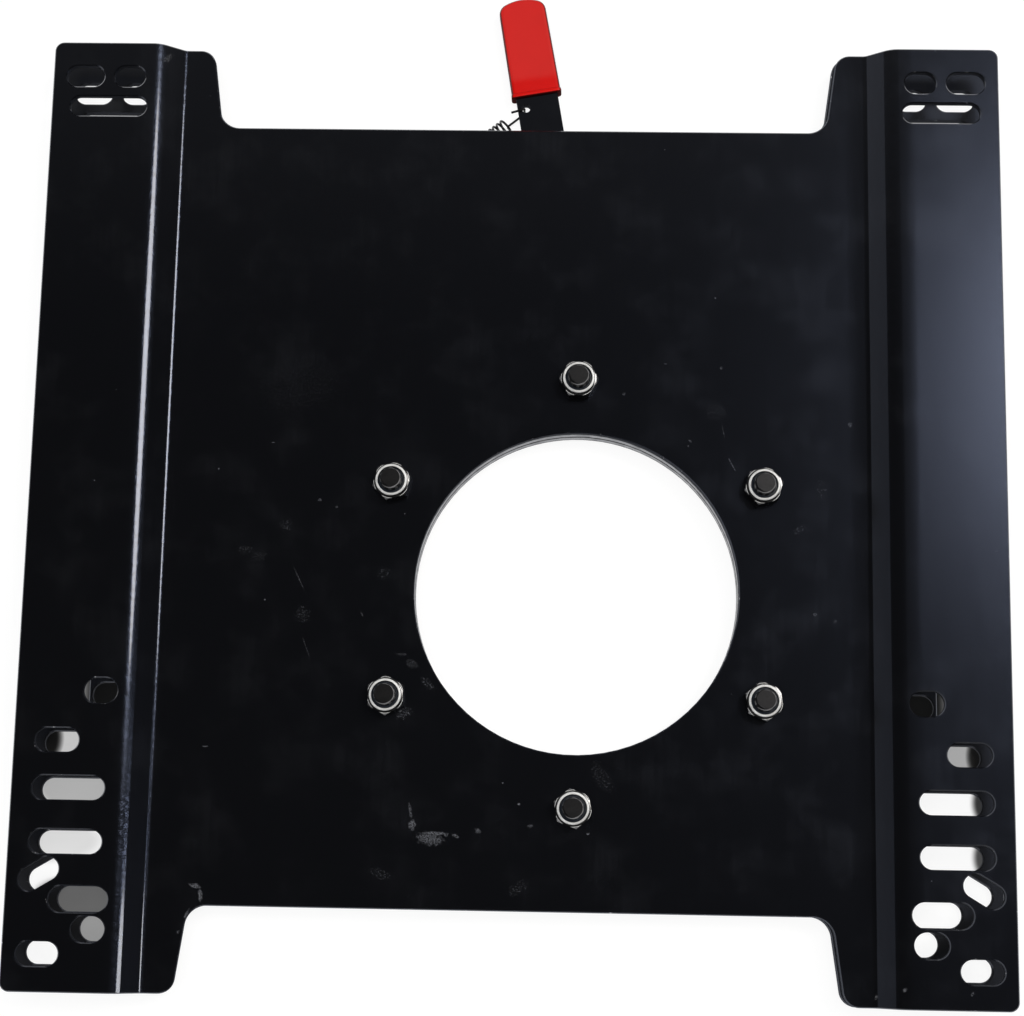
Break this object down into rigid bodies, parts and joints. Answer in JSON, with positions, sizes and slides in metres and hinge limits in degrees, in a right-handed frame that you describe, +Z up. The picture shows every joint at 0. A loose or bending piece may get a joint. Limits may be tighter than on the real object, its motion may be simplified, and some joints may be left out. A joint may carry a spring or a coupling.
{
  "type": "swivel seat base",
  "caption": "Flat swivel base for a camper seat: two bent, slotted black plates that turn on each other round a cable opening, with a sprung red-gripped release lever.",
  "frame": {"origin": "on the swivel axis, at the upper face of the top plate's centre panel", "axes": "+Z up along the swivel axis; +Y towards the side with the release lever; +X to the right of it"},
  "size_m": [0.3682, 0.3898, 0.0265],
  "materials": {
    "coat": "satin black powder coat",
    "ring_steel": "turned bare steel",
    "slip_plastic": "natural sliding plastic",
    "screw_steel": "blackened steel",
    "zinc": "bright zinc plate",
    "insert_plastic": "dark nylon",
    "grip_vinyl": "dipped soft vinyl",
    "spring_steel": "dark spring steel"
  },
  "bodies": {
    "base": {"base_plate": "coat", "upper_slip_ring": "slip_plastic", "lower_slip_ring": "slip_plastic", "pivot_stud": "zinc", "pivot_washer": "zinc", "pivot_clip": "spring_steel", "spring_post": "zinc", "lever_stop": "zinc", "lever_spring": "spring_steel"},
    "turntable": {"top_plate": "coat", "spacer_ring": "ring_steel", "retaining_ring": "ring_steel", "clamp_screws": "screw_steel", "lock_nuts": "zinc", "nut_inserts": "insert_plastic"},
    "lever": {"release_lever": "coat", "lever_grip": "grip_vinyl", "pivot_bush": "slip_plastic"}
  },
  "joints": [
    {"name": "seat_swivel", "type": "hinge", "parent": "base", "child": "turntable", "pos_m": [0, 0, 0], "axis": [0, 0, 1], "continuous": true},
    {"name": "lever_release", "type": "hinge", "parent": "base", "child": "lever", "pos_m": [0.062, 0.10005, -0.01], "axis": [0, 0, 1], "range_deg": [-3, 4.5], "stiffness_Nm_per_rad": 9, "springref_deg": 11.46, "deforming": ["lever_spring"]}
  ]
}
